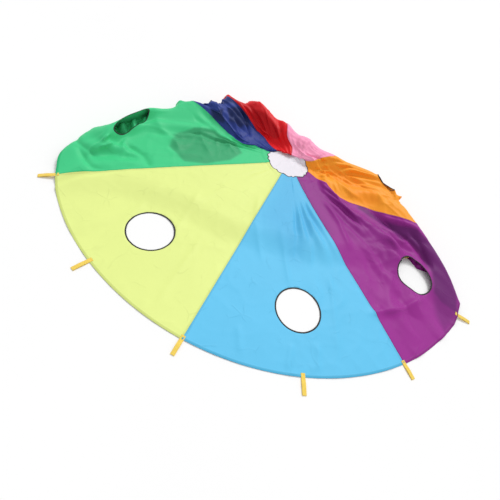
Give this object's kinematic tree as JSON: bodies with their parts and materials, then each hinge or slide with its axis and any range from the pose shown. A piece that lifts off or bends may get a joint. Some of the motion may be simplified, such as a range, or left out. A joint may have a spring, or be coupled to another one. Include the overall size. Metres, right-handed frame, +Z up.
{
  "type": "play parachute",
  "caption": "Round eight-gore canopy of coloured cloth with a bound toss hole in every gore, a white centre and hinged webbing handles at the rim; half spread, half heaped.",
  "frame": {"origin": "middle of the bounding box, on the floor", "axes": "+Z up from the floor; -Y towards the front, where the light blue gore is spread; +X towards the purple gore"},
  "size_m": [2.5808, 2.1169, 0.1628],
  "materials": {
    "centre_white": "plain nylon cloth",
    "binding_black": "folded tape",
    "gore_dark_blue": "thin plain-woven nylon",
    "gore_green": "thin plain-woven nylon",
    "gore_light_blue": "thin plain-woven nylon",
    "gore_orange": "thin plain-woven nylon",
    "gore_pink": "thin plain-woven nylon",
    "gore_purple": "thin plain-woven nylon",
    "gore_red": "thin plain-woven nylon",
    "gore_yellow": "thin plain-woven nylon",
    "webbing_yellow": "woven webbing"
  },
  "bodies": {
    "canopy": {"centre": "centre_white", "centre_binding": "binding_black", "gore_dark_blue": "gore_dark_blue", "gore_green": "gore_green", "gore_light_blue": "gore_light_blue", "gore_orange": "gore_orange", "gore_pink": "gore_pink", "gore_purple": "gore_purple", "gore_red": "gore_red", "gore_yellow": "gore_yellow", "hole_binding_dark_blue": "binding_black", "hole_binding_green": "binding_black", "hole_binding_light_blue": "binding_black", "hole_binding_orange": "binding_black", "hole_binding_pink": "binding_black", "hole_binding_purple": "binding_black", "hole_binding_red": "binding_black", "hole_binding_yellow": "binding_black"},
    "handle_01": {"handle_01": "webbing_yellow"},
    "handle_02": {"handle_02": "webbing_yellow"},
    "handle_03": {"handle_03": "webbing_yellow"},
    "handle_04": {"handle_04": "webbing_yellow"},
    "handle_05": {"handle_05": "webbing_yellow"},
    "handle_06": {"handle_06": "webbing_yellow"},
    "handle_07": {"handle_07": "webbing_yellow"},
    "handle_08": {"handle_08": "webbing_yellow"},
    "handle_09": {"handle_09": "webbing_yellow"},
    "handle_10": {"handle_10": "webbing_yellow"},
    "handle_11": {"handle_11": "webbing_yellow"},
    "handle_12": {"handle_12": "webbing_yellow"},
    "handle_13": {"handle_13": "webbing_yellow"},
    "handle_14": {"handle_14": "webbing_yellow"},
    "handle_15": {"handle_15": "webbing_yellow"},
    "handle_16": {"handle_16": "webbing_yellow"}
  },
  "joints": [
    {"name": "handle_01_fold", "type": "hinge", "parent": "canopy", "child": "handle_01", "pos_m": [0.1685, -0.9705, 0.0034], "axis": [-1, 0, 0], "range_deg": [0, 170]},
    {"name": "handle_02_fold", "type": "hinge", "parent": "canopy", "child": "handle_02", "pos_m": [-0.40266, -0.85689, 0.0034], "axis": [-0.9239, 0.3827, 0], "range_deg": [0, 170]},
    {"name": "handle_03_fold", "type": "hinge", "parent": "canopy", "child": "handle_03", "pos_m": [-0.88686, -0.53336, 0.0034], "axis": [-0.706, 0.7083, 0], "range_deg": [0, 170]},
    {"name": "handle_04_fold", "type": "hinge", "parent": "canopy", "child": "handle_04", "pos_m": [-1.20356, -0.04639, 0.01693], "axis": [-0.2362, 0.9715, 0.0218], "range_deg": [0, 120]},
    {"name": "handle_05_fold", "type": "hinge", "parent": "canopy", "child": "handle_05", "pos_m": [-0.98087, 0.41404, 0.0068], "axis": [-0.9005, -0.4348, 0], "range_deg": [0, 9]},
    {"name": "handle_06_fold", "type": "hinge", "parent": "canopy", "child": "handle_06", "pos_m": [-0.65126, 0.46495, 0.0068], "axis": [-0.9852, -0.1715, 0], "range_deg": [0, 9]},
    {"name": "handle_07_fold", "type": "hinge", "parent": "canopy", "child": "handle_07", "pos_m": [-0.46134, 0.49941, 0.0068], "axis": [-0.9791, -0.2033, 0], "range_deg": [0, 9]},
    {"name": "handle_08_fold", "type": "hinge", "parent": "canopy", "child": "handle_08", "pos_m": [-0.28353, 0.51978, 0.0068], "axis": [-0.9841, 0.1778, 0], "range_deg": [0, 9]},
    {"name": "handle_09_fold", "type": "hinge", "parent": "canopy", "child": "handle_09", "pos_m": [-0.00802, 0.31857, 0.0068], "axis": [-0.7272, 0.6864, 0], "range_deg": [0, 9]},
    {"name": "handle_10_fold", "type": "hinge", "parent": "canopy", "child": "handle_10", "pos_m": [0.2735, -0.093, 0.0068], "axis": [-0.9991, 0.0421, 0], "range_deg": [0, 9]},
    {"name": "handle_11_fold", "type": "hinge", "parent": "canopy", "child": "handle_11", "pos_m": [0.5135, -0.063, 0.0068], "axis": [-0.9892, -0.1466, 0], "range_deg": [0, 9]},
    {"name": "handle_12_fold", "type": "hinge", "parent": "canopy", "child": "handle_12", "pos_m": [0.6935, -0.033, 0.0068], "axis": [-1, -0.0031, 0], "range_deg": [0, 9]},
    {"name": "handle_13_fold", "type": "hinge", "parent": "canopy", "child": "handle_13", "pos_m": [0.90762, 0.34007, 0.0068], "axis": [-0.7432, 0.6691, 0], "range_deg": [0, 9]},
    {"name": "handle_14_fold", "type": "hinge", "parent": "canopy", "child": "handle_14", "pos_m": [0.9829, -0.1432, 0.0068], "axis": [-0.0919, 0.9958, 0], "range_deg": [0, 9]},
    {"name": "handle_15_fold", "type": "hinge", "parent": "canopy", "child": "handle_15", "pos_m": [1.20537, -0.53355, 0.01535], "axis": [-0.3826, -0.9167, -0.1156], "range_deg": [0, 120]},
    {"name": "handle_16_fold", "type": "hinge", "parent": "canopy", "child": "handle_16", "pos_m": [0.73966, -0.85689, 0.0034], "axis": [-0.9226, -0.3858, 0], "range_deg": [0, 170]}
  ]
}
